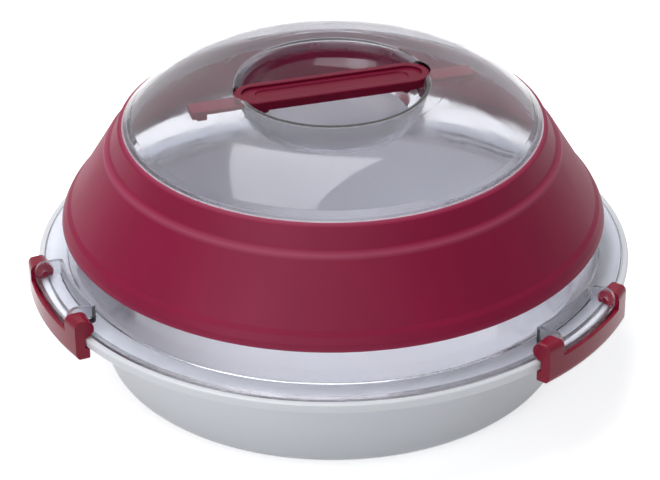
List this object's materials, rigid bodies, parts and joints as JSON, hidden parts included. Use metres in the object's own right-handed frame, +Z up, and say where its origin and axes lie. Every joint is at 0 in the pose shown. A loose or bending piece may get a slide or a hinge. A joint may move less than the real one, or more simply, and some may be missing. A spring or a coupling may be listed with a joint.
{
  "type": "pie carrier",
  "caption": "Round pie carrier: deep tray, clear lid ring with rim latches, folding silicone sleeve and clear dome with a pull-up carry handle.",
  "frame": {"origin": "centre of the tray's flat underside", "axes": "+Z up along the axis of the tray and dome; +Y points at the back latch; +X to the right seen from the front"},
  "size_m": [0.33, 0.336, 0.1635],
  "materials": {
    "tray_plastic": "semi-gloss moulded polypropylene, cool off-white",
    "clear_plastic": "clear polished moulded plastic",
    "sleeve_silicone": "satin silicone, burgundy",
    "handle_plastic": "semi-gloss moulded plastic, burgundy",
    "latch_plastic": "semi-gloss moulded plastic, deep red"
  },
  "bodies": {
    "tray": {"base_tray": "tray_plastic"},
    "lid": {"lid_ring": "clear_plastic", "folding_sleeve": "sleeve_silicone"},
    "dome": {"lid_dome": "clear_plastic"},
    "handle": {"handle_grip": "handle_plastic"},
    "arm_right": {"handle_arm_right": "handle_plastic"},
    "arm_left": {"handle_arm_left": "handle_plastic"},
    "latch_back": {"latch_back": "latch_plastic"},
    "latch_left": {"latch_left": "latch_plastic"},
    "latch_right": {"latch_right": "latch_plastic"}
  },
  "joints": [
    {"name": "lid_lift", "type": "slide", "parent": "tray", "child": "lid", "axis": [0, 0, 1], "range_m": [0, 0.12]},
    {"name": "dome_fold", "type": "slide", "parent": "lid", "child": "dome", "axis": [0, 0, -1], "range_m": [0, 0.055], "deforming": ["folding_sleeve"]},
    {"name": "handle_lift", "type": "slide", "parent": "dome", "child": "handle", "axis": [0, 0, 1], "range_m": [0, 0.018]},
    {"name": "arm_right_swing", "type": "hinge", "parent": "handle", "child": "arm_right", "pos_m": [0.03696, 0.01531, 0.1562], "axis": [-0.3827, 0.9239, 0], "range_deg": [0, 56]},
    {"name": "arm_left_swing", "type": "hinge", "parent": "handle", "child": "arm_left", "pos_m": [-0.03696, -0.01531, 0.1562], "axis": [0.3827, -0.9239, 0], "range_deg": [0, 56]},
    {"name": "latch_back_open", "type": "hinge", "parent": "lid", "child": "latch_back", "pos_m": [0, 0.161, 0.0677], "axis": [1, 0, 0], "range_deg": [0, 95]},
    {"name": "latch_left_open", "type": "hinge", "parent": "lid", "child": "latch_left", "pos_m": [-0.13943, -0.0805, 0.0677], "axis": [-0.5, 0.866, 0], "range_deg": [0, 95]},
    {"name": "latch_right_open", "type": "hinge", "parent": "lid", "child": "latch_right", "pos_m": [0.13943, -0.0805, 0.0677], "axis": [-0.5, -0.866, 0], "range_deg": [0, 95]}
  ],
  "couplings": [
    {"joint": "arm_right_swing", "follows": "handle_lift", "rad_per_m": 54.105},
    {"joint": "arm_left_swing", "follows": "handle_lift", "rad_per_m": 54.105}
  ]
}
